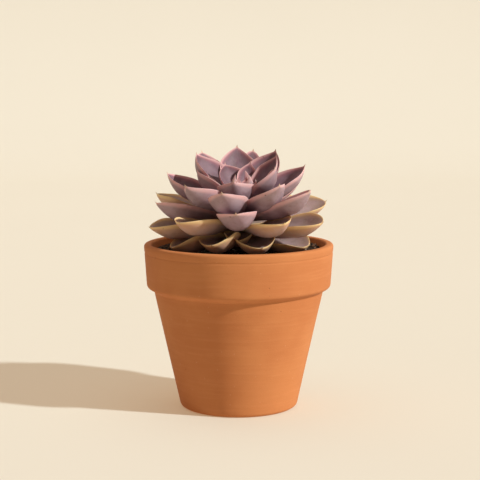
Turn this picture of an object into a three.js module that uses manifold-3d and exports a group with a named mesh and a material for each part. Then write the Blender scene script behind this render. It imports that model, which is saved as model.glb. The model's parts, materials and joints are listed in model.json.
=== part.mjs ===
// A rosette succulent in a round terracotta pot, in millimetres, +Z up.
// The origin is the centre of the pot's foot, on the surface that the pot stands on. The front is -Y.
// Nodes: the pot, the soil, the stem and one node for each leaf, the outermost leaf first.
import * as THREE from "three";
import { mergeVertices } from "three/addons/utils/BufferGeometryUtils.js";
import Module from "manifold-3d";

// Pot: a thrown flowerpot with a deep plain rim and one drainage hole.
const POT_HEIGHT = 95.6;
const RIM_HEIGHT = 26;
const RIM_TOP_RADIUS = 55;
const RIM_FOOT_RADIUS = 53.4;
const SHOULDER_RADIUS = 49.2; // the body's outside, straight under the rim
const FOOT_RADIUS = 34;
const WALL = 4.6;
const FLOOR_THICKNESS = 6;
const DRAIN_RADIUS = 5.5;
const EDGE_ROUND = 1.6;
const POT_SEGMENTS = 56;

// Soil: a coarse fill that leaves a low free lip, and rises a little towards the stem.
const SOIL_EDGE_HEIGHT = 90.2;
const SOIL_CENTRE_HEIGHT = 91.4;
const SOIL_MOUND_RADIUS = 24; // the flat top of the rise
const SOIL_SEGMENTS = 32;
const GAP = 0.4; // between neighbouring solids

// Rosette: it leans towards the front and a little to the right, about a point on the soil.
const ROSETTE_BASE = new THREE.Vector3(0, 3, 92);
const LEAN_FRONT = THREE.MathUtils.degToRad(9);
const LEAN_RIGHT = THREE.MathUtils.degToRad(4);
const SPIRAL_LENGTH = 47; // places for leaves along the spiral, counted from the outside
const LOST_LEAVES = [0, 1, 2]; // places whose leaf has dried up and dropped
const GOLDEN_ANGLE = 137.508; // degrees between one leaf and the next
const TWIST = 10; // degrees that every leaf is rolled round its own length, one margin over the next leaf
const FIRST_BEARING = 12.8; // bearing of the outermost leaf: 0 faces the front, positive turns to the right

// Stem: short, wider at the soil, with a small rounded top.
const STEM_FOOT_HEIGHT = 0.6;
const STEM_FOOT_RADIUS = 6.5;
const STEM_NECK_RADIUS = 2.6;
const STEM_HEIGHT = 31;
const STEM_TOP_ROUND = 1.6;
const STEM_SEGMENTS = 20;
const FIRST_LEAF_HEIGHT = 3.4;
const LAST_LEAF_HEIGHT = 31.5;

// Leaf sizes by age, each a list of [leaf index, value] between which the size runs evenly.
// The reach is from the stem's axis to the tip, and the rise is from the stem's foot to the tip.
const REACH = [
  [0, 44], [9, 47], [12, 53], [20, 53], [26, 49],
  [31, 42], [36, 29], [41, 20], [42, 8], [46, 5],
];
const RISE = [
  [0, 8], [8, 13], [16, 26], [21, 34], [26, 44],
  [31, 49], [36, 53], [41, 53], [42, 43], [46, 42],
];
const WIDTH = [[0, 22], [12, 23], [35, 22], [36, 20], [38, 16], [41, 15], [42, 7], [46, 4.5]];
const THICKNESS = [[0, 3.4], [26, 3.8], [36, 3.4], [41, 2.6], [42, 1.7], [46, 1.3]];
const SAG = [[0, 0.03], [9, 0.05], [18, 0.07], [22, 0.09], [36, 0.09], [46, 0.11]]; // over the leaf length
const WIDEST = [[0, 0.68], [22, 0.68], [30, 0.6], [46, 0.58]]; // place of the widest width, along the leaf
const SHOULDER = [[0, 0.5], [22, 0.54], [28, 0.66], [31, 0.78], [46, 0.88]]; // lower is a blunter leaf end

// Leaves that grew away from the rule: degrees turned and rolled, and millimetres further out, up and wider.
const WANDER = {
  3: { turn: -3, out: 1 },
  5: { up: 1, roll: 8 },
  6: { out: -3 },
  7: { out: -6 },
  8: { turn: -17, roll: -4 },
  10: { turn: -4, out: -2, up: -12 },
  11: { turn: -27, out: 4, up: 8.5 },
  12: { out: -4, up: -4 },
  13: { turn: -2, out: -24, up: -9, wide: -6 },
  15: { turn: 10, out: 2, up: -12, roll: -4 },
  16: { turn: -26, up: 3 },
  18: { turn: -8, out: 1, up: -5.5 },
  19: { turn: 2, up: -3 },
  20: { turn: 10, out: 1, up: -7 },
  21: { turn: -24 },
  22: { turn: 16, out: -4, up: 13, wide: -7 },
  23: { turn: -9, out: 1, up: -10.5, roll: 5 },
  24: { turn: -28, out: 2, up: 6 },
  25: { turn: 5, out: -4, up: 6 },
  26: { turn: -2 },
  27: { turn: 10, out: -2, up: -4.5 },
  28: { turn: -3, up: -6, roll: -11 },
  29: { turn: -14, up: 2, roll: 8, wide: 2 },
  30: { turn: 10, out: -6, up: 5, roll: -5, wide: 1 },
  31: { turn: -4, out: 2, up: -7, roll: 12, wide: -1.5 },
  32: { turn: 20, up: -1, roll: -12 },
  33: { turn: 11, out: -3.5, up: 1, roll: -6, wide: 5 },
  34: { turn: -20, out: -6, up: -5 },
  35: { turn: -4, out: -2, up: 3, roll: -14, wide: 1 },
  36: { turn: -12, out: -1, up: -8, roll: 1 },
  37: { turn: -18, out: -1, up: 1, roll: 14, wide: 2 },
  38: { turn: -30, out: -9, up: -4.2, wide: -2 },
  39: { out: -14, up: -11, wide: -5 },
  40: { turn: 7, up: 2, roll: -6 },
  41: { turn: -26, out: -3, up: -5.2, roll: -10, wide: 7 },
  42: { up: 2.5 },
  43: { up: -1.4 },
  44: { up: 2 },
  45: { out: 2 },
};

// Leaf shape, along the leaf from 0 at the stem to 1 at the tip.
const NECK = 0.3; // width at the stem over the widest width
const SAG_SHAPE = 6.75; // brings the deepest place, two thirds along, to the full sag
const POINT_LENGTH = 1.5; // the fine point at the leaf's tip
const POINT_WIDTH = 1.1;
const CUP = 0.58; // how far the margins stand up, over half the width
const CUP_START = 0.3; // how far along the leaf the cup is full
const MARGIN_THICKNESS = 0.9;
const STATIONS = [0, 0.12, 0.28, 0.44, 0.58, 0.7, 0.8, 0.88, 0.95, 1];
const UPPER_ACROSS = [-1, -0.55, 0, 0.55, 1];
const LOWER_ACROSS = [0.8, 0, -0.8];
const LEAF_GAP = 0.3; // kept where one leaf is pressed against another

const OUTER_LEAF_COLOUR = 0x9a7a72;
const INNER_LEAF_COLOUR = 0xb48fa0;
const potSurface = new THREE.MeshStandardMaterial({ color: 0xc8703c, roughness: 0.88, metalness: 0 });
const soilSurface = new THREE.MeshStandardMaterial({ color: 0x2e211a, roughness: 1, metalness: 0 });
const stemSurface = new THREE.MeshStandardMaterial({ color: 0x8a7350, roughness: 0.8, metalness: 0 });

const wasm = await Module();
wasm.setup();

// The value at a leaf index, from a list of [index, value].
function byAge(list, index) {
  for (let i = 1; i < list.length; i++) {
    const [from, low] = list[i - 1];
    const [to, high] = list[i];
    if (index <= to) return low + ((high - low) * (index - from)) / (to - from);
  }
  return list[list.length - 1][1];
}

// A mesh turned round +Z from a profile of [radius, height] points, which runs from the inside out and up.
function turned(name, profile, segments, material) {
  const points = profile.map(([radius, height]) => new THREE.Vector2(radius, height));
  const geometry = new THREE.LatheGeometry(points, segments);
  geometry.rotateX(Math.PI / 2);
  const mesh = new THREE.Mesh(geometry, material);
  mesh.name = name;
  return mesh;
}

// Points of a quarter-round or other arc of a profile, in degrees from the outward direction.
function arc(radius, height, round, fromDegrees, toDegrees, steps) {
  const points = [];
  for (let i = 0; i <= steps; i++) {
    const angle = THREE.MathUtils.degToRad(fromDegrees + ((toDegrees - fromDegrees) * i) / steps);
    points.push([radius + round * Math.cos(angle), height + round * Math.sin(angle)]);
  }
  return points;
}

function innerWallRadius(height) {
  const foot = FOOT_RADIUS - WALL;
  const top = RIM_TOP_RADIUS - WALL;
  return foot + ((top - foot) * (height - FLOOR_THICKNESS)) / (POT_HEIGHT - FLOOR_THICKNESS);
}

function makePot() {
  const rimFoot = POT_HEIGHT - RIM_HEIGHT;
  const lip = WALL / 2;
  const profile = [
    [DRAIN_RADIUS, 0],
    [FOOT_RADIUS - EDGE_ROUND, 0],
    ...arc(FOOT_RADIUS - EDGE_ROUND, EDGE_ROUND, EDGE_ROUND, -60, 0, 2),
    [SHOULDER_RADIUS, rimFoot - 0.5],
    ...arc(RIM_FOOT_RADIUS - EDGE_ROUND, rimFoot + EDGE_ROUND, EDGE_ROUND, -90, 0, 3),
    ...arc(RIM_TOP_RADIUS - lip, POT_HEIGHT - lip, lip, 0, 180, 6),
    [innerWallRadius(FLOOR_THICKNESS), FLOOR_THICKNESS],
    [DRAIN_RADIUS, FLOOR_THICKNESS],
    [DRAIN_RADIUS, 0],
  ];
  return turned("pot", profile, POT_SEGMENTS, potSurface);
}

function makeSoil() {
  const bottom = FLOOR_THICKNESS + GAP;
  const profile = [
    [0, bottom],
    [innerWallRadius(bottom) - GAP, bottom],
    [innerWallRadius(SOIL_EDGE_HEIGHT) - GAP, SOIL_EDGE_HEIGHT],
    [SOIL_MOUND_RADIUS, SOIL_CENTRE_HEIGHT],
    [0, SOIL_CENTRE_HEIGHT],
  ];
  return turned("soil", profile, SOIL_SEGMENTS, soilSurface);
}

function stemRadius(height) {
  const along = Math.min(Math.max(height / STEM_HEIGHT, 0), 1);
  return STEM_FOOT_RADIUS + (STEM_NECK_RADIUS - STEM_FOOT_RADIUS) * along;
}

function makeStem() {
  const profile = [
    [0, STEM_FOOT_HEIGHT],
    [STEM_FOOT_RADIUS, STEM_FOOT_HEIGHT],
    [stemRadius(STEM_HEIGHT - STEM_TOP_ROUND), STEM_HEIGHT - STEM_TOP_ROUND],
    [STEM_NECK_RADIUS / 2, STEM_HEIGHT - STEM_TOP_ROUND / 4],
    [0, STEM_HEIGHT],
  ];
  return turned("stem", profile, STEM_SEGMENTS, stemSurface);
}

// Half the leaf's width over its greatest half width, before the fine point.
function outline(along, bodyEnd, widest, shoulder) {
  if (along >= bodyEnd) return 0;
  if (along < widest) return NECK + (1 - NECK) * Math.sin((Math.PI / 2) * (along / widest)) ** 1.3;
  return Math.cos((Math.PI / 2) * ((along - widest) / (bodyEnd - widest))) ** shoulder;
}

// A leaf in the rosette's own frame. A swell makes it that much larger on every side.
function leafGeometry(index, swell = 0) {
  const { turn = 0, roll = 0, out = 0, up = 0, wide = 0 } = WANDER[index] ?? {};
  const bearing = THREE.MathUtils.degToRad(FIRST_BEARING + GOLDEN_ANGLE * index + turn);
  const upTheStem = index / (SPIRAL_LENGTH - 1);
  const baseHeight = THREE.MathUtils.lerp(FIRST_LEAF_HEIGHT, LAST_LEAF_HEIGHT, upTheStem);
  const outwards = new THREE.Vector3(Math.sin(bearing), -Math.cos(bearing), 0);
  const base = outwards.clone().multiplyScalar(stemRadius(baseHeight) + GAP).setZ(baseHeight);
  const tip = outwards.clone().multiplyScalar(byAge(REACH, index) + out).setZ(byAge(RISE, index) + up);
  const chord = tip.clone().sub(base);
  const length = chord.length();
  const ahead = chord.clone().normalize();
  const side = new THREE.Vector3(Math.cos(bearing), Math.sin(bearing), 0);
  side.applyAxisAngle(ahead, THREE.MathUtils.degToRad(TWIST + roll));
  const above = ahead.clone().cross(side);

  const halfWidth = (byAge(WIDTH, index) + wide) / 2;
  const thickness = byAge(THICKNESS, index);
  const sag = byAge(SAG, index) * length;
  const widest = byAge(WIDEST, index);
  const shoulder = byAge(SHOULDER, index);
  const bodyEnd = 1 - POINT_LENGTH / length;

  const positions = [];
  const put = (along, across, lift) => {
    const point = base.clone().addScaledVector(chord, along);
    const sink = SAG_SHAPE * sag * along ** 2 * (1 - along);
    point.addScaledVector(above, lift - sink).addScaledVector(side, across);
    positions.push(point.x, point.y, point.z);
  };
  for (const station of STATIONS) {
    const along = station * bodyEnd;
    const half = Math.max(halfWidth * outline(along, bodyEnd, widest, shoulder), POINT_WIDTH / 2);
    const cup = CUP * half * Math.min(1, along / CUP_START);
    const fullness = Math.min(1, 0.5 + along / widest) * Math.min(1, (1.06 - station) / 0.3);
    const keel = Math.max(thickness * fullness - MARGIN_THICKNESS, 0.2);
    for (const a of UPPER_ACROSS) put(along, a * (half + swell), cup * a * a + swell);
    for (const a of LOWER_ACROSS) {
      const under = MARGIN_THICKNESS + keel * (1 - a * a) ** 0.8;
      put(along, a * (half + swell), cup * a * a - under - swell);
    }
  }
  const basePole = positions.length / 3;
  const tipPole = basePole + 1;
  put(-swell / length, 0, -thickness / 4);
  put(1 + swell / length, 0, 0.3);

  const ringSize = UPPER_ACROSS.length + LOWER_ACROSS.length;
  const lastRing = (STATIONS.length - 1) * ringSize;
  const faces = [];
  for (let i = 0; i < ringSize; i++) {
    const next = (i + 1) % ringSize;
    faces.push(i, next, basePole, lastRing + next, lastRing + i, tipPole);
    for (let ring = 0; ring < lastRing; ring += ringSize) {
      const [a, b, c, d] = [ring + i, ring + next, ring + ringSize + next, ring + ringSize + i];
      faces.push(a, c, b, a, d, c);
    }
  }
  const geometry = new THREE.BufferGeometry();
  geometry.setAttribute("position", new THREE.Float32BufferAttribute(positions, 3));
  geometry.setIndex(faces);
  return geometry;
}

function solidOf(geometry) {
  const merged = mergeVertices(geometry);
  const vertProperties = merged.attributes.position.array;
  const triVerts = new Uint32Array(merged.index.array);
  return new wasm.Manifold(new wasm.Mesh({ numProp: 3, vertProperties, triVerts }));
}

function geometryOf(solid) {
  const { vertProperties, triVerts } = solid.getMesh();
  const geometry = new THREE.BufferGeometry();
  geometry.setAttribute("position", new THREE.BufferAttribute(vertProperties, 3));
  geometry.setIndex(new THREE.BufferAttribute(triVerts, 1));
  geometry.computeVertexNormals();
  return geometry;
}

// Every leaf, the outermost first. Where two leaves press on each other, the outer one gives way.
function makeLeaves() {
  const places = [];
  for (let index = 0; index < SPIRAL_LENGTH; index++) {
    if (!LOST_LEAVES.includes(index)) places.push(index);
  }
  const grown = places.map((index) => solidOf(leafGeometry(index)));
  return places.map((index, order) => {
    let solid = grown[order];
    for (let inner = order + 1; inner < places.length; inner++) {
      if (grown[order].intersect(grown[inner]).isEmpty()) continue;
      solid = solid.subtract(solidOf(leafGeometry(places[inner], LEAF_GAP)));
    }
    const [largest] = solid.decompose().sort((a, b) => b.volume() - a.volume());
    const color = new THREE.Color(OUTER_LEAF_COLOUR);
    color.lerp(new THREE.Color(INNER_LEAF_COLOUR), order / places.length);
    const surface = new THREE.MeshStandardMaterial({ color, roughness: 0.6, metalness: 0 });
    const mesh = new THREE.Mesh(geometryOf(largest), surface);
    mesh.name = "leaf_" + String(order + 1).padStart(2, "0");
    return mesh;
  });
}

const rosette = new THREE.Group();
rosette.position.copy(ROSETTE_BASE);
rosette.rotation.set(LEAN_FRONT, LEAN_RIGHT, 0, "YXZ");
rosette.add(makeStem(), ...makeLeaves());

const plant = new THREE.Group();
plant.add(makePot(), makeSoil(), rosette);

export default plant;
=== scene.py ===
"""A rosette succulent in a round terracotta pot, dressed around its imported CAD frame.

Everything is in metres in the frame's own axes: +Z up, the front towards -Y, the foot of the pot at z = 0.
"""
import json
import math

import bmesh
import bpy
import numpy as np
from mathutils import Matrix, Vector, noise


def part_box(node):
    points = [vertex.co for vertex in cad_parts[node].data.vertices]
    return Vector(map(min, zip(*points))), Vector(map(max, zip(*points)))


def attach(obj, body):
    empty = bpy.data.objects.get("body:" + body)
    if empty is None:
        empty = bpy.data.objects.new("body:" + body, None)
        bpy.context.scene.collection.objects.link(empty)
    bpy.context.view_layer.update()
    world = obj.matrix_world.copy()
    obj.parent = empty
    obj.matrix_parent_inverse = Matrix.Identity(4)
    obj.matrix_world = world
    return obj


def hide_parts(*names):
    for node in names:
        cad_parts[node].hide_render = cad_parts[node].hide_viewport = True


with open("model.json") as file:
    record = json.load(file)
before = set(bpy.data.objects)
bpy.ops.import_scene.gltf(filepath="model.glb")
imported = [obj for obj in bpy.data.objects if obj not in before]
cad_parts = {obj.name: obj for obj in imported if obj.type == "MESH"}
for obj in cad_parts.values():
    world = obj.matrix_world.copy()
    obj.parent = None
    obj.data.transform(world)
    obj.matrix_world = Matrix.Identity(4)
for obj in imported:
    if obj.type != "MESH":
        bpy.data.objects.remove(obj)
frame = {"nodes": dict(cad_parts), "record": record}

MM = 0.001
TURN = 2 * math.pi
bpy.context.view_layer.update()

# The pot. Its height and its widths at the rim come from the frame; the rest shapes its profile.
POT_FOOT_RADIUS = 34 * MM
POT_SHOULDER_RADIUS = 49.2 * MM
POT_RIM_FOOT_RADIUS = 53.3 * MM
POT_RIM_HEIGHT = 25 * MM
POT_UNDERCUT = 2.2 * MM
POT_WALL = 4.6 * MM
POT_INNER_FOOT_RADIUS = 29.4 * MM
POT_FLOOR = 6 * MM
POT_DRAIN_RADIUS = 5.5 * MM
POT_GROOVE_DROP = 5 * MM
POT_GROOVE_DEPTH = 0.22 * MM
POT_GROOVE_HALF_WIDTH = 0.9 * MM
POT_STEPS_ROUND = 160
POT_STEP_LONG = 2.4 * MM
POT_BEND_STEP = math.radians(9)

# How far each corner of the pot's section is rounded.
POT_HOLE_ROUNDING = 0.7 * MM
POT_FOOT_ROUNDING = 3.2 * MM
POT_SHOULDER_ROUNDING = 2.2 * MM
POT_RIM_FOOT_ROUNDING = 2.6 * MM
POT_GROOVE_ROUNDING = 0.4 * MM
POT_OUTER_LIP_ROUNDING = 2.0 * MM
POT_INNER_LIP_ROUNDING = 1.7 * MM
POT_INNER_FOOT_ROUNDING = 3.0 * MM
POT_INNER_HOLE_ROUNDING = 0.5 * MM

# How far the pot is out of round and level. A scale is about one over a swelling's width in metres.
POT_WOBBLE = 0.16 * MM
POT_WOBBLE_SCALE = 18
POT_DENT_SHARE = 0.25
POT_DENT_SCALE = 70
POT_TILT_SCALE = 14
POT_TILT_START = Vector((7, 3, 1))

# The potting mix. It is lumpy at the top only, and heaped against the wall from a share of its radius on.
# The lumps' pattern is a fractal's roughness, the step between its layers, and their number.
SOIL_ROUGHNESS = 1.1 * MM
SOIL_LUMP_SCALE = 130
SOIL_LUMP_PATTERN = (0.9, 2.1, 4)
SOIL_LUMP_DROP = 0.6
SOIL_LUMP_DEPTH = 6 * MM
SOIL_HEAP = 2.2 * MM
SOIL_HEAP_START = 0.72
SOIL_HEAP_RUN = 0.22
SOIL_STEPS_ROUND = 120
SOIL_STEP_LONG = 1.5 * MM
SOIL_HIDDEN_STEP_LONG = 8 * SOIL_STEP_LONG
SOIL_SKIN = 0.2 * MM
SOIL_FOOT_GAP = 1 * MM
SOIL_EDGE_DROP = 1.2 * MM
SOIL_CROWN_SHARE = 0.5

# The grains on the mix: name, number per square millimetre, least and greatest width in millimetres, seed.
GRAIN_KINDS = (
    ("soil_crumbs", 0.16, 0.8, 2.6, 1),
    ("pumice_grains", 0.010, 0.7, 2.2, 2),
    ("bark_bits", 0.035, 0.8, 3.2, 3),
)
GRAIN_WALL_GAP = 1.5 * MM
GRAIN_LEAST_UPWARD = 0.6
GRAIN_SMALLNESS = 2.2
GRAIN_LEAST_SHAPE = (0.7, 0.6, 0.5)
GRAIN_GREATEST_SHAPE = (1.3, 1.0, 0.9)
GRAIN_TILT = 0.6
GRAIN_SHAPE_SEED = 5
GRAIN_SPIN_SEED = 9
GRAIN_TONE_SEED = 3
GRAIN_DENT = 0.9 * MM
GRAIN_DENT_SCALE = 900

# The stem. Its two ends come from the frame.
STEM_RADII = (6.3 * MM, 2.4 * MM)
STEM_STEPS_LONG = 40
STEM_STEPS_ROUND = 40
STEM_END_BLUNTNESS = 12
STEM_SCAR_SPACING = 3.1 * MM
STEM_SCAR_SHARE = 0.07
STEM_KNOT_SHARE = 0.16
STEM_KNOT_SCALE = 260

# The leaves. Their places and widths are measured on the frame's leaves. A pair runs from the oldest leaf
# to the youngest, and so does a list of places in the spiral with the values there.
STEM_FIRST_LEAF = 0.17
STEM_LAST_LEAF = 0.98
STEM_LEAF_RADIUS = (5.6 * MM, 2.9 * MM)
LEAF_THICKNESS = (3.9 * MM, 1.5 * MM)
LEAF_SAG = ((0.0, 0.14, 0.35, 0.44, 0.77, 1.0), (0.037, 0.05, 0.07, 0.09, 0.09, 0.11))
LEAF_CUP = (0.58, 0.60)
LEAF_WIDEST = ((0.0, 0.44, 0.63, 1.0), (0.68, 0.68, 0.60, 0.58))
LEAF_SHOULDER = ((0.0, 0.44, 0.58, 0.65, 1.0), (0.50, 0.54, 0.66, 0.78, 0.88))
LEAF_STEPS_ROUND = 36
LEAF_STEPS_LONG = 52
LEAF_END_CROWDING = 1.5
LEAF_WIDE_PART = (0.5, 0.8)
SEED_STEP = 0.618
MERGE_DISTANCE = 0.001 * MM

# A leaf's outline: the length of its closing foot, its neck, and the small point at its tip.
LEAF_FOOT_CLOSING = 0.02
LEAF_NECK_SHARE = 0.3
LEAF_NECK_CURVE = 1.3
LEAF_POINT_LENGTH = 1.6 * MM
LEAF_POINT_HALF_WIDTH = 0.75 * MM
LEAF_POINT_CURVE = 1.25

# A leaf's section: its margin, its keel and the cup of its upper face. The keel is what the thickness
# leaves under the skin, and the cup opens faster on an older leaf.
LEAF_FIRM_HALF_WIDTH = 2.6 * MM
LEAF_FULL_AT_FOOT = 0.5
LEAF_THIN_FROM = 1.04
LEAF_THIN_RUN = 0.3
LEAF_MARGIN_HALF_THICKNESS = 0.6 * MM
LEAF_SKIN_THICKNESS = 0.9 * MM
LEAF_LEAST_KEEL = 0.1 * MM
LEAF_KEEL_CURVE = 1.5
LEAF_CUP_RUN = 0.3
LEAF_CUP_CURVE = 2.3
LEAF_CUP_AGEING = 0.8

# How a leaf sags and flicks up at its end. With its factor, the deepest place is as deep as the sag says.
LEAF_SAG_FACTOR = 27 / 4
LEAF_FLICK = 0.9 * MM
LEAF_FLICK_CURVE = 8

# How uneven a leaf is, and how its pattern is spread over it and from leaf to leaf.
LEAF_UNEVEN_LIFT = 0.16
LEAF_UNEVEN_SIDE = 0.12
LEAF_UNEVEN_ACROSS = 0.9
LEAF_UNEVEN_ALONG = 3.2
LEAF_UNEVEN_SEED_ACROSS = 17
LEAF_UNEVEN_SEED_DEEP = 5

# The light and the camera.
SUN_BEARING = math.radians(66.5)
SUN_ELEVATION = math.radians(33)
SUN_ANGLE = math.radians(2.5)
SUN_STRENGTH = 3.6
SUN_COLOUR = (1.0, 1.0, 0.96)
ROOM_COLOUR = (1.0, 0.82, 0.70)
ROOM_STRENGTH = 0.22
PANEL_SIZE = 2.4
PANEL_PLACE = (-0.3, 0.2, 2.0)
PANEL_POWER = 13
PANEL_COLOUR = (1.0, 0.90, 0.78)
CAMERA_PLACE = (0.0008, -0.7683, 0.1916)
CAMERA_DOWN = math.radians(7.01)
CAMERA_LENS = 100
CAMERA_SENSOR = 36

# The floor and the backdrop.
SWEEP_TONES = ((0.495, 0.54, 0.515), (0.515, 0.56, 0.535))
# The sweep also glows: a painted warm light that lifts the shadows on the floor and adds warm light from
# below.
SWEEP_GLOW_COLOUR = (1.0, 0.613, 0.323)
SWEEP_GLOW = 0.31
SWEEP_HALF_WIDTH = 5.0
SWEEP_FRONT = -3.0
SWEEP_BACK = 1.7
SWEEP_CURVE = 0.9
SWEEP_HEIGHT = 2.6
SWEEP_STEPS = 24

# The colours of the finishes, and how much each layer covers the one before it.
CLAY_SHARES = {"streak": 0.16, "grain": 0.25, "pale": 0.2, "dark": 0.35}
CLAY = {
    "base": ((0.53, 0.182, 0.058), (0.585, 0.217, 0.072)),
    "streak": (0.70, 0.29, 0.115),
    "grain": (0.42, 0.125, 0.038),
    "pale": (0.76, 0.44, 0.25),
    "dark": (0.24, 0.07, 0.025),
}
PEAT_FIBRE_SHARE = 0.5
PEAT = {
    "lumps": ((0.010, 0.006, 0.004), (0.055, 0.030, 0.018)),
    "fibre": (0.11, 0.062, 0.032),
}
CRUMB_TONES = ((0.008, 0.005, 0.003), (0.085, 0.048, 0.028))
PUMICE_TONES = ((0.24, 0.19, 0.14), (0.72, 0.66, 0.56))
BARK_TONES = ((0.035, 0.015, 0.007), (0.17, 0.075, 0.034))
STEM_TONES = ((0.10, 0.055, 0.028), (0.30, 0.20, 0.11))

# The leaves' skin: how its pattern is spread, how strong each layer is, and the distances from the edge in
# millimetres between which each band fades.
SKIN_PATTERN_ALONG = 4
SKIN_PATTERN_FACING = 0.3
SKIN_PATTERN_SEED_ACROSS = 31
SKIN_PATTERN_SEED_DEEP = 9
SKIN_SHARES = {"rubbed": 0.28, "young": 0.6, "rim": 0.6, "margin": 0.85, "tip": 0.75, "speck": 0.6}
SKIN_BANDS = {"margin": (0.35, 1.8), "rim": (0.6, 3.4), "flush": (0.8, 5.5)}
SKIN = {
    "foot": (0.25, 0.19, 0.11),
    "bloom": (0.62, 0.50, 0.55),
    "rubbed": (0.25, 0.155, 0.135),
    "young": (0.66, 0.43, 0.42),
    "speck": (0.11, 0.05, 0.04),
}
# The upper and under tones are partly the leaves' own colour and partly painted light: the inner leaves'
# upper faces are darkened as painted shade, and the undersides are lightened as painted sheen and painted
# bounce light.
LEAF_TONES = {
    "inner_leaf": {
        "upper": ((0.185, 0.095, 0.13), (0.145, 0.078, 0.10)),
        "under": ((0.38, 0.26, 0.32), (0.31, 0.20, 0.235)),
        "flush": (0.47, 0.30, 0.28),
        "flush_share": 0.3,
        "margin": (0.76, 0.45, 0.44),
        "rim": (0.50, 0.19, 0.23),
        "tip": (0.60, 0.45, 0.27),
    },
    "outer_leaf": {
        "upper": ((0.42, 0.30, 0.31), (0.36, 0.27, 0.24)),
        "under": ((0.52, 0.37, 0.37), (0.54, 0.355, 0.31)),
        "flush": (0.68, 0.38, 0.18),
        "flush_share": 0.6,
        "margin": (0.88, 0.62, 0.30),
        "rim": (0.60, 0.40, 0.24),
        "tip": (0.58, 0.42, 0.20),
    },
}


class Value:
    """A number or vector that runs through a node tree. Arithmetic on it adds the nodes."""

    def __init__(self, tree, socket):
        self.tree = tree
        self.socket = socket

    def math(self, operation, *others):
        node = self.tree.nodes.new("ShaderNodeMath")
        node.operation = operation
        for place, value in enumerate((self, *others)):
            feed(self.tree, node.inputs[place], value)
        return Value(self.tree, node.outputs[0])

    def vector(self, operation, other=None, output=0):
        node = self.tree.nodes.new("ShaderNodeVectorMath")
        node.operation = operation
        feed(self.tree, node.inputs[0], self)
        if operation == "SCALE":
            feed(self.tree, node.inputs["Scale"], other)
        elif other is not None:
            feed(self.tree, node.inputs[1], other)
        return Value(self.tree, node.outputs[output])

    def __add__(self, other):
        return self.math("ADD", other)

    def __sub__(self, other):
        return self.math("SUBTRACT", other)

    def __rsub__(self, other):
        return self.math("MULTIPLY", -1.0).math("ADD", other)

    def __mul__(self, other):
        return self.math("MULTIPLY", other)

    def __truediv__(self, other):
        return self.math("DIVIDE", other)

    def __pow__(self, other):
        return self.math("POWER", other)

    def ramp(self, low, high):
        """Goes smoothly from 0 at low to 1 at high."""
        node = self.tree.nodes.new("ShaderNodeMapRange")
        node.interpolation_type = "SMOOTHSTEP"
        feed(self.tree, node.inputs["Value"], self)
        feed(self.tree, node.inputs["From Min"], low)
        feed(self.tree, node.inputs["From Max"], high)
        return Value(self.tree, node.outputs["Result"])


def feed(tree, socket, value):
    """Gives a node's input a running value, or a plain one."""
    if isinstance(value, Value):
        tree.links.new(value.socket, socket)
    else:
        socket.default_value = value


def between(pair, share):
    """The plain number that lies a share of the way along a pair."""
    return pair[0] + (pair[1] - pair[0]) * share


# ---- Shapes turned round an axis ----


def rounded(corners, step):
    """A closed outline in (radius, height), in steps no longer than step.
    Its corners are given as (radius, height, rounding)."""
    outline = []
    count = len(corners)
    for index, (radius, height, rounding) in enumerate(corners):
        corner = Vector((radius, height))
        before = Vector(corners[index - 1][:2]) - corner
        after = Vector(corners[(index + 1) % count][:2]) - corner
        half_angle = before.angle(after) / 2
        reach = rounding / math.tan(half_angle)
        start = corner + before.normalized() * reach
        end = corner + after.normalized() * reach
        bends = max(2, math.ceil((math.pi - 2 * half_angle) / POT_BEND_STEP))
        for bend in range(bends + 1):
            share = bend / bends
            pull = 2 * share * (1 - share)
            outline.append(start * (1 - share) ** 2 + corner * pull + end * share**2)
    fine = []
    for index, point in enumerate(outline):
        following = outline[(index + 1) % len(outline)]
        parts = max(1, math.ceil((following - point).length / step))
        fine += [point.lerp(following, part / parts) for part in range(parts)]
    return fine


def turned(name, outline, steps, closed, shift):
    """A mesh turned round Z from an outline. shift moves each point, given its place.
    Open outlines end on the axis."""
    shape = bmesh.new()
    rings = []
    for radius, height in outline:
        if radius == 0:
            rings.append([shape.verts.new(shift(Vector((0, 0, height))))])
            continue
        ring = []
        for step in range(steps):
            angle = TURN * step / steps
            place = Vector((radius * math.cos(angle), radius * math.sin(angle), height))
            ring.append(shape.verts.new(shift(place)))
        rings.append(ring)
    pairs = list(zip(rings, rings[1:]))
    if closed:
        pairs.append((rings[-1], rings[0]))
    for lower, upper in pairs:
        for step in range(steps):
            corners = [lower[step % len(lower)], lower[(step + 1) % len(lower)]]
            corners += [upper[(step + 1) % len(upper)], upper[step % len(upper)]]
            kept = list(dict.fromkeys(corners))
            shape.faces.new(kept)
    bmesh.ops.recalc_face_normals(shape, faces=shape.faces)
    mesh = bpy.data.meshes.new(name)
    shape.to_mesh(mesh)
    shape.free()
    mesh.shade_smooth()
    piece = bpy.data.objects.new(name, mesh)
    bpy.context.scene.collection.objects.link(piece)
    return piece


def finish_piece(piece, node, slot, *materials):
    """Puts a finished piece on the frame in place of a CAD node."""
    for material in materials:
        piece.data.materials.append(material)
    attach(piece, "root")
    if node:
        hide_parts(node)
    return piece


# ---- The pot ----


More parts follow.
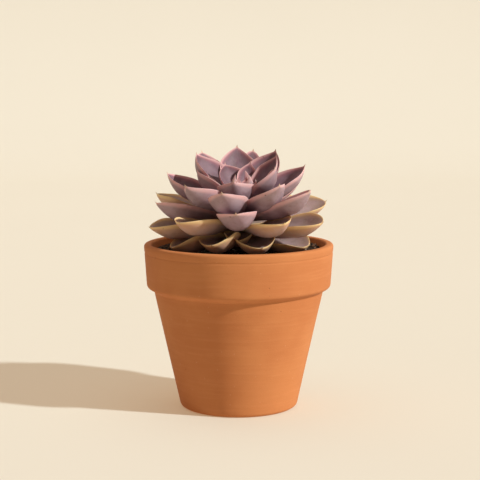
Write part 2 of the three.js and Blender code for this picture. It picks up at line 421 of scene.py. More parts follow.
def pot_outline():
    """The pot's section, from the foot of its drain hole round the outside and back down the inside."""
    low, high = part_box("pot")
    top = high.z
    rim = high.x
    shoulder = top - POT_RIM_HEIGHT - POT_UNDERCUT

    def rim_radius(height):
        share = (height - top + POT_RIM_HEIGHT) / POT_RIM_HEIGHT
        return POT_RIM_FOOT_RADIUS + (rim - POT_RIM_FOOT_RADIUS) * share

    groove = top - POT_GROOVE_DROP
    groove_foot = groove - POT_GROOVE_HALF_WIDTH
    groove_top = groove + POT_GROOVE_HALF_WIDTH
    return [
        (POT_DRAIN_RADIUS, low.z, POT_HOLE_ROUNDING),
        (POT_FOOT_RADIUS, low.z, POT_FOOT_ROUNDING),
        (POT_SHOULDER_RADIUS, shoulder, POT_SHOULDER_ROUNDING),
        (POT_RIM_FOOT_RADIUS, top - POT_RIM_HEIGHT, POT_RIM_FOOT_ROUNDING),
        (rim_radius(groove_foot), groove_foot, POT_GROOVE_ROUNDING),
        (rim_radius(groove) - POT_GROOVE_DEPTH, groove, POT_GROOVE_ROUNDING),
        (rim_radius(groove_top), groove_top, POT_GROOVE_ROUNDING),
        (rim, top, POT_OUTER_LIP_ROUNDING),
        (rim - POT_WALL, top, POT_INNER_LIP_ROUNDING),
        (POT_INNER_FOOT_RADIUS, low.z + POT_FLOOR, POT_INNER_FOOT_ROUNDING),
        (POT_DRAIN_RADIUS, low.z + POT_FLOOR, POT_INNER_HOLE_ROUNDING),
    ]


def pot_shift(place):
    """Moves a point of the pot a little, because thrown clay is never quite round or level."""
    out = Vector((place.x, place.y, 0)).normalized()
    swell = noise.noise(place * POT_WOBBLE_SCALE) * POT_WOBBLE
    dent = noise.noise(place * POT_DENT_SCALE) * POT_WOBBLE * POT_DENT_SHARE
    tilt = noise.noise(place * POT_TILT_SCALE + POT_TILT_START) * POT_WOBBLE
    moved = place + out * (swell + dent)
    moved.z += tilt * min(1, place.z / POT_RIM_HEIGHT)
    return moved


def make_pot():
    """The terracotta pot, one closed skin inside and out."""
    pot = turned("terracotta_pot", rounded(pot_outline(), POT_STEP_LONG), POT_STEPS_ROUND, True, pot_shift)
    return finish_piece(pot, "pot", "terracotta", terracotta())


# ---- The potting mix ----


def soil_shift(place):
    """Moves a point of the mix, which lies in lumps and is heaped a little against the wall."""
    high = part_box("soil")[1]
    if place.z < high.z - SOIL_LUMP_DEPTH:
        return place
    lumps = noise.fractal(place * SOIL_LUMP_SCALE, *SOIL_LUMP_PATTERN) * SOIL_ROUGHNESS
    out = math.hypot(place.x, place.y) / high.x
    heap = SOIL_HEAP * min(1, max(0, (out - SOIL_HEAP_START) / SOIL_HEAP_RUN))
    return place + Vector((0, 0, lumps + heap - SOIL_ROUGHNESS * SOIL_LUMP_DROP))


def make_soil():
    """The potting mix that fills the pot."""
    low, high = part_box("soil")
    radius = high.x - SOIL_SKIN
    foot = POT_INNER_FOOT_RADIUS - SOIL_FOOT_GAP
    edge = high.z - SOIL_EDGE_DROP
    crown = (radius * SOIL_CROWN_SHARE, high.z)
    corners = [(0, low.z), (foot, low.z), (radius, edge), crown, (0, high.z)]
    outline = []
    for start, end in zip(corners, corners[1:]):
        step = SOIL_STEP_LONG if start[1] >= edge else SOIL_HIDDEN_STEP_LONG
        parts = max(1, math.ceil(math.dist(start, end) / step))
        for part in range(parts):
            share = part / parts
            outline.append(tuple(a + (b - a) * share for a, b in zip(start, end)))
    outline.append(corners[-1])
    soil = turned("potting_mix", outline, SOIL_STEPS_ROUND, False, soil_shift)
    return finish_piece(soil, "soil", "potting_mix", potting_mix())


def scatter_tree():
    """Strews stones over a surface's upward faces. Its inputs give their number, size and look."""
    tree = bpy.data.node_groups.new("strewn grains", "GeometryNodeTree")
    face = tree.interface
    face.new_socket(name="Surface", in_out="INPUT", socket_type="NodeSocketGeometry")
    face.new_socket(name="Grains per square metre", in_out="INPUT", socket_type="NodeSocketFloat")
    face.new_socket(name="Smallest", in_out="INPUT", socket_type="NodeSocketFloat")
    face.new_socket(name="Largest", in_out="INPUT", socket_type="NodeSocketFloat")
    face.new_socket(name="Reach", in_out="INPUT", socket_type="NodeSocketFloat")
    face.new_socket(name="Seed", in_out="INPUT", socket_type="NodeSocketInt")
    face.new_socket(name="Finish", in_out="INPUT", socket_type="NodeSocketMaterial")
    face.new_socket(name="Geometry", in_out="OUTPUT", socket_type="NodeSocketGeometry")
    ends = tree.nodes.new("NodeGroupInput").outputs

    normal = Value(tree, tree.nodes.new("GeometryNodeInputNormal").outputs[0])
    place = Value(tree, tree.nodes.new("GeometryNodeInputPosition").outputs[0])
    upward = normal.vector("DOT_PRODUCT", (0, 0, 1), output="Value")
    level = upward.math("GREATER_THAN", GRAIN_LEAST_UPWARD)
    flat = place.vector("MULTIPLY", (1, 1, 0)).vector("LENGTH", output="Value")
    inside = flat.math("LESS_THAN", Value(tree, ends["Reach"]))
    points = tree.nodes.new("GeometryNodeDistributePointsOnFaces")
    tree.links.new(ends["Surface"], points.inputs["Mesh"])
    tree.links.new(ends["Grains per square metre"], points.inputs["Density"])
    tree.links.new(ends["Seed"], points.inputs["Seed"])
    feed(tree, points.inputs["Selection"], level * inside)

    stone = tree.nodes.new("GeometryNodeMeshIcoSphere")
    stone.inputs["Radius"].default_value = 0.5
    stone.inputs["Subdivisions"].default_value = 1
    size = tree.nodes.new("FunctionNodeRandomValue")
    size.data_type = "FLOAT"
    tree.links.new(ends["Seed"], size.inputs["Seed"])
    evenly = Value(tree, size.outputs[1])
    smallest = Value(tree, ends["Smallest"])
    largest = Value(tree, ends["Largest"])
    width = smallest + (largest - smallest) * evenly**GRAIN_SMALLNESS
    shape = tree.nodes.new("FunctionNodeRandomValue")
    shape.data_type = "FLOAT_VECTOR"
    shape.inputs["Min"].default_value = GRAIN_LEAST_SHAPE
    shape.inputs["Max"].default_value = GRAIN_GREATEST_SHAPE
    shape.inputs["Seed"].default_value = GRAIN_SHAPE_SEED
    spin = tree.nodes.new("FunctionNodeRandomValue")
    spin.data_type = "FLOAT_VECTOR"
    spin.inputs["Min"].default_value = (-GRAIN_TILT, -GRAIN_TILT, 0)
    spin.inputs["Max"].default_value = (GRAIN_TILT, GRAIN_TILT, TURN)
    spin.inputs["Seed"].default_value = GRAIN_SPIN_SEED
    strew = tree.nodes.new("GeometryNodeInstanceOnPoints")
    tree.links.new(points.outputs["Points"], strew.inputs["Points"])
    tree.links.new(stone.outputs["Mesh"], strew.inputs["Instance"])
    tree.links.new(spin.outputs["Value"], strew.inputs["Rotation"])
    feed(tree, strew.inputs["Scale"], Value(tree, shape.outputs["Value"]).vector("SCALE", width))

    tone = tree.nodes.new("GeometryNodeStoreNamedAttribute")
    tone.data_type = "FLOAT"
    tone.domain = "INSTANCE"
    tone.inputs["Name"].default_value = "tone"
    shade = tree.nodes.new("FunctionNodeRandomValue")
    shade.data_type = "FLOAT"
    shade.inputs["Seed"].default_value = GRAIN_TONE_SEED
    tree.links.new(strew.outputs["Instances"], tone.inputs["Geometry"])
    feed(tree, tone.inputs["Value"], Value(tree, shade.outputs[1]))
    real = tree.nodes.new("GeometryNodeRealizeInstances")
    tree.links.new(tone.outputs["Geometry"], real.inputs["Geometry"])

    knock = tree.nodes.new("ShaderNodeTexNoise")
    knock.inputs["Scale"].default_value = GRAIN_DENT_SCALE
    knock.inputs["Detail"].default_value = 1
    push = Value(tree, knock.outputs["Color"]).vector("SUBTRACT", (0.5, 0.5, 0.5))
    push = push.vector("SCALE", GRAIN_DENT)
    dent = tree.nodes.new("GeometryNodeSetPosition")
    tree.links.new(real.outputs["Geometry"], dent.inputs["Geometry"])
    feed(tree, dent.inputs["Offset"], push)
    coat = tree.nodes.new("GeometryNodeSetMaterial")
    tree.links.new(dent.outputs["Geometry"], coat.inputs["Geometry"])
    tree.links.new(ends["Finish"], coat.inputs["Material"])
    out = tree.nodes.new("NodeGroupOutput")
    tree.links.new(coat.outputs["Geometry"], out.inputs["Geometry"])
    return tree


def grown(name, base, tree, sizes):
    """The plain mesh that a node tree makes of a base mesh, with the given sizes at its named inputs."""
    source = bpy.data.objects.new(name + "_source", base)
    bpy.context.scene.collection.objects.link(source)
    grower = source.modifiers.new(name, "NODES")
    grower.node_group = tree
    for socket in tree.interface.items_tree:
        if socket.in_out == "INPUT" and socket.name in sizes:
            grower[socket.identifier] = sizes[socket.name]
    bpy.context.view_layer.update()
    graph = bpy.context.evaluated_depsgraph_get()
    seen = source.evaluated_get(graph)
    mesh = bpy.data.meshes.new_from_object(seen, preserve_all_data_layers=True, depsgraph=graph)
    mesh.name = name
    bpy.data.objects.remove(source)
    piece = bpy.data.objects.new(name, mesh)
    bpy.context.scene.collection.objects.link(piece)
    return piece


def make_grains(soil):
    """Loose crumbs, pumice and bark on the mix."""
    tree = scatter_tree()
    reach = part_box("soil")[1].x - GRAIN_WALL_GAP
    finishes = [
        grain_finish("peat_crumbs", *CRUMB_TONES, roughness=0.9),
        grain_finish("pumice", *PUMICE_TONES, roughness=0.85),
        grain_finish("bark", *BARK_TONES, roughness=0.8),
    ]
    for (name, grains, smallest, largest, seed), finish in zip(GRAIN_KINDS, finishes):
        sizes = {
            "Grains per square metre": grains / MM**2,
            "Smallest": smallest * MM,
            "Largest": largest * MM,
            "Reach": reach,
            "Seed": seed,
            "Finish": finish,
        }
        finish_piece(grown(name, soil.data, tree, sizes), None, "potting_mix")


# ---- The stem and the leaves ----


def leaf_tree():
    """One fleshy leaf: a closed skin from its foot on the stem to the point at its tip."""
    tree = bpy.data.node_groups.new("fleshy leaf", "GeometryNodeTree")
    face = tree.interface
    for name in ("Foot", "Tip", "Side"):
        face.new_socket(name=name, in_out="INPUT", socket_type="NodeSocketVector")
    for name in ("Half width", "Thickness", "Sag", "Cup", "Widest", "Shoulder", "Age", "Seed"):
        face.new_socket(name=name, in_out="INPUT", socket_type="NodeSocketFloat")
    face.new_socket(name="Finish", in_out="INPUT", socket_type="NodeSocketMaterial")
    face.new_socket(name="Geometry", in_out="OUTPUT", socket_type="NodeSocketGeometry")
    ends = tree.nodes.new("NodeGroupInput").outputs

    def given(name):
        return Value(tree, ends[name])

    grid = tree.nodes.new("GeometryNodeMeshGrid")
    grid.inputs["Size X"].default_value = 1
    grid.inputs["Size Y"].default_value = 1
    grid.inputs["Vertices X"].default_value = LEAF_STEPS_ROUND + 1
    grid.inputs["Vertices Y"].default_value = LEAF_STEPS_LONG + 1
    spot = tree.nodes.new("ShaderNodeSeparateXYZ")
    feed(tree, spot.inputs[0], Value(tree, tree.nodes.new("GeometryNodeInputPosition").outputs[0]))
    angle = (Value(tree, spot.outputs["X"]) + 0.5) * TURN
    along = 1 - (0.5 - Value(tree, spot.outputs["Y"])).math("MAXIMUM", 0.0) ** LEAF_END_CROWDING
    across = angle.math("COSINE")
    facing = angle.math("SINE")

    # The outline: a narrow closed foot, the widest place past the middle, a blunt end and a small point.
    chord = given("Tip").vector("SUBTRACT", given("Foot"))
    length = chord.vector("LENGTH", output="Value")
    point_start = 1 - length**-1 * LEAF_POINT_LENGTH
    widest = given("Widest")
    swell = (along / widest).math("MINIMUM", 1.0) * (math.pi / 2)
    neck = swell.math("SINE") ** LEAF_NECK_CURVE * (1 - LEAF_NECK_SHARE) + LEAF_NECK_SHARE
    closing = ((along - widest) / (point_start - widest)).math("MAXIMUM", 0.0).math("MINIMUM", 1.0)
    end = (closing * (math.pi / 2)).math("COSINE").math("MAXIMUM", 0.0) ** given("Shoulder")
    body = neck * end * given("Half width")
    taper = ((1 - along) / (1 - point_start)).math("MAXIMUM", 0.0).math("MINIMUM", 1.0)
    point = taper**LEAF_POINT_CURVE * LEAF_POINT_HALF_WIDTH
    shut = (along / LEAF_FOOT_CLOSING).math("MINIMUM", 1.0)
    half = (body**2 + point**2).math("SQRT") * shut

    # The section: a cupped upper face over a round keel, thin at the margin.
    firm = (half / LEAF_FIRM_HALF_WIDTH).math("MINIMUM", 1.0)
    filling = (along / widest + LEAF_FULL_AT_FOOT).math("MINIMUM", 1.0)
    thinning = ((LEAF_THIN_FROM - along) / LEAF_THIN_RUN).math("MINIMUM", 1.0)
    keel = given("Thickness") * (filling * thinning) - LEAF_SKIN_THICKNESS
    keel = keel.math("MAXIMUM", LEAF_LEAST_KEEL) * firm
    upper = facing.math("MAXIMUM", 0.0)
    lower = (facing * -1).math("MAXIMUM", 0.0)
    margin = firm * LEAF_MARGIN_HALF_THICKNESS
    skin = (upper - lower) * margin - lower**LEAF_KEEL_CURVE * keel
    roundness = (half / given("Half width")) ** (given("Age") * LEAF_CUP_AGEING)
    depth = given("Cup") * half * roundness * (along / LEAF_CUP_RUN).math("MINIMUM", 1.0)
    side_share = across.math("ABSOLUTE")
    cup = side_share**LEAF_CUP_CURVE * depth

    # Every leaf is a little uneven.
    unevenness = tree.nodes.new("ShaderNodeTexNoise")
    unevenness.inputs["Scale"].default_value = 1
    unevenness.inputs["Detail"].default_value = 1
    where = tree.nodes.new("ShaderNodeCombineXYZ")
    feed(tree, where.inputs[0], across * LEAF_UNEVEN_ACROSS + given("Seed") * LEAF_UNEVEN_SEED_ACROSS)
    feed(tree, where.inputs[1], along * LEAF_UNEVEN_ALONG)
    feed(tree, where.inputs[2], given("Seed") * LEAF_UNEVEN_SEED_DEEP)
    tree.links.new(where.outputs[0], unevenness.inputs["Vector"])
    uneven = Value(tree, unevenness.outputs[0]) - 0.5
    lift = skin + cup + uneven * side_share * half * LEAF_UNEVEN_LIFT
    sink = along**2 * (1 - along) * length * given("Sag") * -LEAF_SAG_FACTOR
    flick = along**LEAF_FLICK_CURVE * LEAF_FLICK
    height = lift + sink + flick

    ahead = chord.vector("NORMALIZE")
    above = ahead.vector("CROSS_PRODUCT", given("Side")).vector("NORMALIZE")
    place = given("Foot").vector("ADD", chord.vector("SCALE", along))
    aside = half * across * (uneven * LEAF_UNEVEN_SIDE + 1)
    place = place.vector("ADD", given("Side").vector("SCALE", aside))
    place = place.vector("ADD", above.vector("SCALE", height))

    # What the finish reads: how far along, across and from the margin a place is, and which face it is on.
    to_margin = (1 - side_share) * half
    to_tip = (1 - along) * length
    edge = to_margin.math("MINIMUM", to_tip) / MM
    kept = grid.outputs["Mesh"]
    readings = {"along": along, "across": across, "facing": facing, "edge": edge}
    readings |= {"age": given("Age"), "seed": given("Seed")}
    for name, reading in readings.items():
        store = tree.nodes.new("GeometryNodeStoreNamedAttribute")
        store.data_type = "FLOAT"
        store.domain = "POINT"
        store.inputs["Name"].default_value = name
        tree.links.new(kept, store.inputs["Geometry"])
        feed(tree, store.inputs["Value"], reading)
        kept = store.outputs["Geometry"]
    # The readings come from the flat grid, so they are stored before the grid is shaped.
    shape = tree.nodes.new("GeometryNodeSetPosition")
    tree.links.new(kept, shape.inputs["Geometry"])
    feed(tree, shape.inputs["Position"], place)
    close = tree.nodes.new("GeometryNodeMergeByDistance")
    close.inputs["Distance"].default_value = MERGE_DISTANCE
    tree.links.new(shape.outputs["Geometry"], close.inputs["Geometry"])
    smooth = tree.nodes.new("GeometryNodeSetShadeSmooth")
    tree.links.new(close.outputs["Geometry"], smooth.inputs["Geometry"])
    real = tree.nodes.new("GeometryNodeRealizeInstances")
    tree.links.new(smooth.outputs["Geometry"], real.inputs["Geometry"])
    coat = tree.nodes.new("GeometryNodeSetMaterial")
    tree.links.new(real.outputs["Geometry"], coat.inputs["Geometry"])
    tree.links.new(ends["Finish"], coat.inputs["Material"])
    out = tree.nodes.new("NodeGroupOutput")
    tree.links.new(coat.outputs["Geometry"], out.inputs["Geometry"])
    return tree


def node_points(node):
    """The corners of a node of the frame, one in each row."""
    points = np.zeros(len(frame["nodes"][node].data.vertices) * 3)
    frame["nodes"][node].data.vertices.foreach_get("co", points)
    return points.reshape(-1, 3)


def stem_line():
    """The foot and the top of the leaning stem's axis."""
    points = np.unique(node_points("stem").round(6), axis=0)
    middle = points.mean(0)
    axis = np.linalg.svd(points - middle, full_matrices=False)[2][0]
    axis *= np.sign(axis[2])
    reach = (points - middle) @ axis
    return middle + axis * reach.min(), middle + axis * reach.max()


def leaf_place(node, share, foot, top):
    """Measures a leaf of the frame: its foot on the stem, its tip, its side's direction and its half width.
    share is its place in the spiral, from 0 at the oldest leaf to 1 at the youngest."""
    points = node_points(node)
    axis = (top - foot) / np.linalg.norm(top - foot)
    middle = np.unique(points.round(6), axis=0).mean(0)
    tip = points[((points - foot) @ (middle - foot)).argmax()]
    outward = tip - foot - axis * ((tip - foot) @ axis)
    outward /= np.linalg.norm(outward)
    height = between((STEM_FIRST_LEAF, STEM_LAST_LEAF), share)
    start = foot + (top - foot) * height + outward * between(STEM_LEAF_RADIUS, share)
    chord = tip - start
    length = np.linalg.norm(chord)
    ahead = chord / length
    along = (points - start) @ ahead / length
    spread = points - start - np.outer((points - start) @ ahead, ahead)
    wide = spread[(along > LEAF_WIDE_PART[0]) & (along < LEAF_WIDE_PART[1])]
    gaps = np.linalg.norm(wide[:, None] - wide[None], axis=2)
    first, second = np.unravel_index(gaps.argmax(), gaps.shape)
    side = wide[first] - wide[second]
    if side @ np.cross(axis, outward) < 0:
        side = -side
    half_width = np.linalg.norm(side) / 2
    return start, tip, side / np.linalg.norm(side), half_width


def make_leaves():
    """Every leaf of the rosette, each in place of its own node."""
    tree = leaf_tree()
    finishes = {slot: leaf_skin(slot) for slot in ("outer_leaf", "inner_leaf")}
    foot, top = stem_line()
    slots = {part["node"]: part["material_slot"] for part in frame["record"]["subparts"]}
    leaves = sorted(name for name in frame["nodes"] if name.startswith("leaf_"))
    for index, node in enumerate(leaves):
        share = index / (len(leaves) - 1)
        start, tip, side, half_width = leaf_place(node, share, foot, top)
        sizes = {
            "Foot": tuple(start),
            "Tip": tuple(tip),
            "Side": tuple(side),
            "Half width": float(half_width),
            "Thickness": between(LEAF_THICKNESS, share**2),
            "Sag": float(np.interp(share, *LEAF_SAG)),
            "Cup": between(LEAF_CUP, share),
            "Widest": float(np.interp(share, *LEAF_WIDEST)),
            "Shoulder": float(np.interp(share, *LEAF_SHOULDER)),
            "Age": 1 - share,
            "Seed": (index * SEED_STEP) % 1,
            "Finish": finishes[slots[node]],
        }
        leaf = grown("fleshy_" + node, bpy.data.meshes.new(node), tree, sizes)
        finish_piece(leaf, node, slots[node])


def make_stem():
    """A short woody stem with the scars of shed leaves."""
    foot, top = (Vector(end) for end in stem_line())
    up = (top - foot).normalized()
    turn = up.to_track_quat("Z", "Y")
    height = (top - foot).length
    outline = [(0, 0)]
    for step in range(STEM_STEPS_LONG):
        share = step / STEM_STEPS_LONG
        closing = min(1, math.sqrt((1 - share) * STEM_END_BLUNTNESS))
        outline.append((between(STEM_RADII, share) * closing, height * share))
    outline.append((0, height))

    def shift(place):
        out = Vector((place.x, place.y, 0))
        scars = STEM_SCAR_SHARE * math.sin(place.z * TURN / STEM_SCAR_SPACING)
        knots = STEM_KNOT_SHARE * noise.noise(place * STEM_KNOT_SCALE)
        return foot + turn @ (out * (1 + scars + knots) + Vector((0, 0, place.z)))

    stem = turned("rosette_stem", outline, STEM_STEPS_ROUND, False, shift)
    return finish_piece(stem, "stem", "stem", woody_stem())


# ---- Finishes ----


def new_finish(name):
    """A new material, its node tree and its surface shader."""
    material = bpy.data.materials.new(name)
    material.use_nodes = True
    tree = material.node_tree
    return material, tree, tree.nodes["Principled BSDF"]


def reading(tree, name):
    """A number stored on the mesh."""
    node = tree.nodes.new("ShaderNodeAttribute")
    node.attribute_name = name
    return Value(tree, node.outputs["Fac"])


def place_on(tree, stretch=(1, 1, 1)):
    """Places in the object's own axes, stretched for a pattern."""
    where = tree.nodes.new("ShaderNodeTexCoord")
    mapping = tree.nodes.new("ShaderNodeMapping")
    mapping.inputs["Scale"].default_value = stretch
    tree.links.new(where.outputs["Object"], mapping.inputs["Vector"])
    return Value(tree, mapping.outputs[0])


def mottle(tree, where, scale, detail=3, roughness=0.55):
    """Cloudy patches, about 0.3 to 0.7."""
    node = tree.nodes.new("ShaderNodeTexNoise")
    node.inputs["Scale"].default_value = scale
    node.inputs["Detail"].default_value = detail
    node.inputs["Roughness"].default_value = roughness
    feed(tree, node.inputs["Vector"], where)
    return Value(tree, node.outputs[0])


def spots(tree, where, scale, size, chance):
    """1 inside small round spots, in the given share of a pattern's cells."""
    node = tree.nodes.new("ShaderNodeTexVoronoi")
    node.inputs["Scale"].default_value = scale
    feed(tree, node.inputs["Vector"], where)
    picked = tree.nodes.new("ShaderNodeSeparateColor")
    tree.links.new(node.outputs["Color"], picked.inputs[0])
    round_spot = 1 - Value(tree, node.outputs["Distance"]).ramp(size * 0.6, size)
    return round_spot * Value(tree, picked.outputs[0]).math("LESS_THAN", chance)


def mix(tree, share, first, second):
    """Goes from the first colour to the second."""
    node = tree.nodes.new("ShaderNodeMix")
    node.data_type = "RGBA"
    feed(tree, node.inputs["Factor"], share)
    for socket, colour in ((node.inputs[6], first), (node.inputs[7], second)):
        feed(tree, socket, colour if isinstance(colour, Value) else (*colour, 1))
    return Value(tree, node.outputs[2])


def relief(tree, shader, *layers):
    """Raises the surface by layers of (height, depth in metres)."""
    below = None
    for height, depth in layers:
        node = tree.nodes.new("ShaderNodeBump")
        node.inputs["Strength"].default_value = 1
        node.inputs["Distance"].default_value = depth
        feed(tree, node.inputs["Height"], height)
        if below:
            tree.links.new(below, node.inputs["Normal"])
        below = node.outputs[0]
    tree.links.new(below, shader.inputs["Normal"])


def terracotta():
    """Unglazed fired clay: chalky, faintly streaked by the turning, with pores and a few pale grains."""
    material, tree, shader = new_finish("terracotta")
    where = place_on(tree)
    streaks = mottle(tree, place_on(tree, (1, 1, 14)), scale=34)
    clouds = mottle(tree, where, scale=22, detail=4)
    grain = mottle(tree, where, scale=1500, roughness=0.7)
    colour = mix(tree, clouds.ramp(0.35, 0.68), *CLAY["base"])
    colour = mix(tree, streaks.ramp(0.45, 0.75) * CLAY_SHARES["streak"], colour, CLAY["streak"])
    colour = mix(tree, grain.ramp(0.55, 0.8) * CLAY_SHARES["grain"], colour, CLAY["grain"])
    pale = spots(tree, where, scale=420, size=0.20, chance=0.06)
    dark = spots(tree, where, scale=300, size=0.14, chance=0.05)
    colour = mix(tree, pale * CLAY_SHARES["pale"], colour, CLAY["pale"])
    colour = mix(tree, dark * CLAY_SHARES["dark"], colour, CLAY["dark"])
    feed(tree, shader.inputs["Base Color"], colour)
    feed(tree, shader.inputs["Roughness"], grain * 0.2 + 0.74)
    shader.inputs["Specular IOR Level"].default_value = 0.3
    relief(tree, shader, (streaks, 0.12 * MM), (grain, 0.06 * MM), (dark * -1, 0.12 * MM))
    return material


def potting_mix():
    """Dark damp peat with fibres."""
    material, tree, shader = new_finish("potting_mix")
    where = place_on(tree)
    lumps = mottle(tree, where, scale=420, detail=6, roughness=0.7)
    colour = mix(tree, lumps.ramp(0.35, 0.7), *PEAT["lumps"])
    fibre = mottle(tree, place_on(tree, (1, 5, 1)), scale=700, detail=2)
    colour = mix(tree, fibre.ramp(0.62, 0.72) * PEAT_FIBRE_SHARE, colour, PEAT["fibre"])
    feed(tree, shader.inputs["Base Color"], colour)
    shader.inputs["Roughness"].default_value = 0.9
    shader.inputs["Specular IOR Level"].default_value = 0.25
    relief(tree, shader, (lumps, 1.4 * MM))
    return material


def grain_finish(name, dark, light, roughness):
    """Loose grains, each of its own tone between dark and light."""
    material, tree, shader = new_finish(name)
    tone = reading(tree, "tone")
    fine = mottle(tree, place_on(tree), scale=1800)
    feed(tree, shader.inputs["Base Color"], mix(tree, tone * 0.7 + fine * 0.4, dark, light))
    shader.inputs["Roughness"].default_value = roughness
    relief(tree, shader, (fine, 0.2 * MM))
    return material


def woody_stem():
    """Dry bark with rings."""
    material, tree, shader = new_finish("woody_stem")
    where = place_on(tree)
    rings = mottle(tree, place_on(tree, (1, 1, 5)), scale=200, detail=4)
    fine = mottle(tree, where, scale=1600)
    feed(tree, shader.inputs["Base Color"], mix(tree, rings.ramp(0.35, 0.7), *STEM_TONES))
    shader.inputs["Roughness"].default_value = 0.85
    relief(tree, shader, (rings, 0.6 * MM), (fine, 0.1 * MM))
    return material


def leaf_skin(slot):
    """Fleshy leaf skin under a powdery bloom, with a coloured margin and a dry point."""
    tones = LEAF_TONES[slot]
    material, tree, shader = new_finish(slot)
    along = reading(tree, "along")
    across = reading(tree, "across")
    facing = reading(tree, "facing")
    edge = reading(tree, "edge")
    age = reading(tree, "age")
    seed = reading(tree, "seed")
    on_leaf = tree.nodes.new("ShaderNodeCombineXYZ")
    feed(tree, on_leaf.inputs[0], across + seed * SKIN_PATTERN_SEED_ACROSS)
    feed(tree, on_leaf.inputs[1], along * SKIN_PATTERN_ALONG)
    feed(tree, on_leaf.inputs[2], facing * SKIN_PATTERN_FACING + seed * SKIN_PATTERN_SEED_DEEP)
    on_leaf = Value(tree, on_leaf.outputs[0])
    solid = place_on(tree)
    patches = mottle(tree, on_leaf, scale=1.6)
    cloud = mottle(tree, solid, scale=130, detail=4)
    # The upper face and the underside take separate tones. These hold painted shade on the inner leaves'
    # upper faces and painted sheen and bounce light on the undersides, as well as the leaf's own colour.
    upper = mix(tree, patches.ramp(0.35, 0.65), *tones["upper"])
    under = mix(tree, (patches + along * 0.15).ramp(0.35, 0.75), *tones["under"])
    colour = mix(tree, facing.ramp(-0.08, 0.08), under, upper)
    # The sun has coloured the end of the leaf, most of all underneath.
    flush = along.ramp(0.45, 1.0) * (1 - facing.ramp(-0.3, 0.2) * 0.75) * (patches * 0.8 + 0.45)
    colour = mix(tree, flush * tones["flush_share"], colour, tones["flush"])
    # Older skin is duller and greener towards the foot.
    foot = (1 - along.ramp(0.1, 0.6)) * (age * 0.4 + 0.3)
    colour = mix(tree, foot, colour, SKIN["foot"])
    # The bloom is rubbed thin in places.
    bloom = cloud.ramp(0.36, 0.62) * (0.24 - facing.ramp(-0.2, 0.2) * (0.18 - age * 0.18))
    colour = mix(tree, bloom, colour, SKIN["bloom"])
    rubbed = mottle(tree, solid, scale=320, detail=2).ramp(0.60, 0.72) * SKIN_SHARES["rubbed"]
    colour = mix(tree, rubbed, colour, SKIN["rubbed"])
    # The flush gathers under the margin, and the youngest leaves are paler.
    near_margin = 1 - edge.ramp(*SKIN_BANDS["flush"])
    near_margin = near_margin * (1 - facing.ramp(-0.25, 0.05)) * along.ramp(0.4, 0.75)
    colour = mix(tree, near_margin * (age * tones["flush_share"] + 0.1), colour, tones["flush"])
    youth = (1 - age.ramp(0.0, 0.14)) * along.ramp(0.2, 0.7)
    colour = mix(tree, youth * SKIN_SHARES["young"], colour, SKIN["young"])
    # A coloured band lies inside a pale margin, and the point is dry.
    rim = (1 - edge.ramp(*SKIN_BANDS["rim"])) * facing.ramp(0.0, 0.15) * along.ramp(0.15, 0.5)
    colour = mix(tree, rim * SKIN_SHARES["rim"], colour, tones["rim"])
    margin = 1 - edge.ramp(*SKIN_BANDS["margin"])
    colour = mix(tree, margin * SKIN_SHARES["margin"], colour, tones["margin"])
    tip = along.ramp(0.945, 0.995)
    colour = mix(tree, tip * SKIN_SHARES["tip"], colour, tones["tip"])
    specks = spots(tree, solid, scale=210, size=0.13, chance=0.10)
    colour = mix(tree, specks * SKIN_SHARES["speck"], colour, SKIN["speck"])
    feed(tree, shader.inputs["Base Color"], colour)
    feed(tree, shader.inputs["Roughness"], cloud * 0.25 + 0.48)
    shader.inputs["Specular IOR Level"].default_value = 0.4
    shader.inputs["Subsurface Weight"].default_value = 0.12
    shader.inputs["Subsurface Radius"].default_value = (1.0, 0.45, 0.35)
    shader.inputs["Subsurface Scale"].default_value = 1.5 * MM
    fine = mottle(tree, solid, scale=900, roughness=0.6)
    veins = mottle(tree, on_leaf.vector("MULTIPLY", (9, 1.1, 1)), scale=1.5, detail=2)
    relief(tree, shader, (veins, 0.1 * MM), (fine, 0.05 * MM), (specks * -1, 0.1 * MM))
    return material


# ---- The stage ----


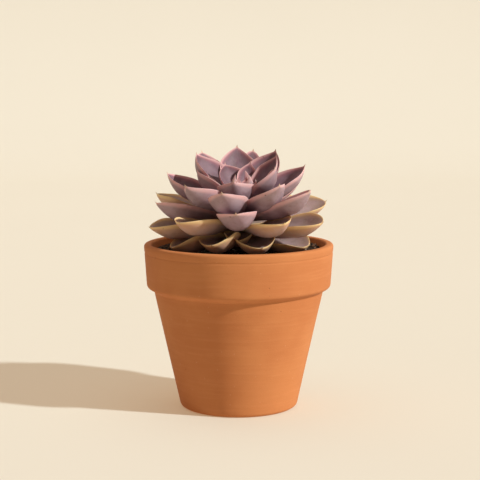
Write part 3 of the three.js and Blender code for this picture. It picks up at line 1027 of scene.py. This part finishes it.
def make_sweep():
    """A seamless cream sweep: a floor that curves up into a backdrop, and glows with a painted warm light
    that lifts the shadows on it.
    """
    outline = [(SWEEP_FRONT, 0.0), (SWEEP_BACK, 0.0)]
    for step in range(1, SWEEP_STEPS + 1):
        angle = math.pi / 2 * step / SWEEP_STEPS
        outline.append((SWEEP_BACK + SWEEP_CURVE * math.sin(angle), SWEEP_CURVE * (1 - math.cos(angle))))
    outline.append((SWEEP_BACK + SWEEP_CURVE, SWEEP_HEIGHT))
    points = [(side * SWEEP_HALF_WIDTH, y, z) for y, z in outline for side in (-1, 1)]
    faces = [(2 * row, 2 * row + 1, 2 * row + 3, 2 * row + 2) for row in range(len(outline) - 1)]
    mesh = bpy.data.meshes.new("sweep")
    mesh.from_pydata(points, [], faces)
    mesh.shade_smooth()
    sweep = bpy.data.objects.new("sweep", mesh)
    bpy.context.scene.collection.objects.link(sweep)
    material, tree, shader = new_finish("cream_sweep")
    tone = mottle(tree, place_on(tree), scale=2.2, detail=2)
    feed(tree, shader.inputs["Base Color"], mix(tree, tone, *SWEEP_TONES))
    # The glow is painted light: it lifts the shadows on the floor and warms them.
    shader.inputs["Emission Color"].default_value = (*SWEEP_GLOW_COLOUR, 1)
    shader.inputs["Emission Strength"].default_value = SWEEP_GLOW
    shader.inputs["Roughness"].default_value = 0.95
    shader.inputs["Specular IOR Level"].default_value = 0.1
    sweep.data.materials.append(material)


def make_lights():
    """Soft sunlight from the right, a wide panel overhead and the light of a plain room."""
    lamp = bpy.data.lights.new("key", "SUN")
    lamp.energy = SUN_STRENGTH
    lamp.angle = SUN_ANGLE
    lamp.color = SUN_COLOUR
    key = bpy.data.objects.new("key", lamp)
    flat = math.cos(SUN_ELEVATION)
    right = flat * math.sin(SUN_BEARING)
    front = flat * math.cos(SUN_BEARING)
    source = Vector((right, -front, math.sin(SUN_ELEVATION)))
    key.rotation_euler = source.to_track_quat("Z", "Y").to_euler()
    bpy.context.scene.collection.objects.link(key)
    panel = bpy.data.lights.new("overhead_panel", "AREA")
    panel.shape = "SQUARE"
    panel.size = PANEL_SIZE
    panel.energy = PANEL_POWER
    panel.color = PANEL_COLOUR
    overhead = bpy.data.objects.new("overhead_panel", panel)
    overhead.location = PANEL_PLACE
    overhead.visible_camera = False
    bpy.context.scene.collection.objects.link(overhead)
    room = bpy.data.worlds.new("room")
    room.use_nodes = True
    sky = room.node_tree.nodes["Background"]
    sky.inputs["Color"].default_value = (*ROOM_COLOUR, 1)
    sky.inputs["Strength"].default_value = ROOM_STRENGTH
    bpy.context.scene.world = room


def make_camera():
    """The camera, a little above the pot and tipped down to it."""
    camera = bpy.data.cameras.new("camera")
    camera.lens = CAMERA_LENS
    camera.sensor_width = CAMERA_SENSOR
    seat = bpy.data.objects.new("camera", camera)
    seat.location = CAMERA_PLACE
    seat.rotation_euler = (math.pi / 2 - CAMERA_DOWN, 0, 0)
    bpy.context.scene.collection.objects.link(seat)
    bpy.context.scene.camera = seat


make_camera()
make_lights()
make_sweep()
make_pot()
make_grains(make_soil())
make_stem()
make_leaves()
bpy.context.scene.view_settings.view_transform = "Standard"
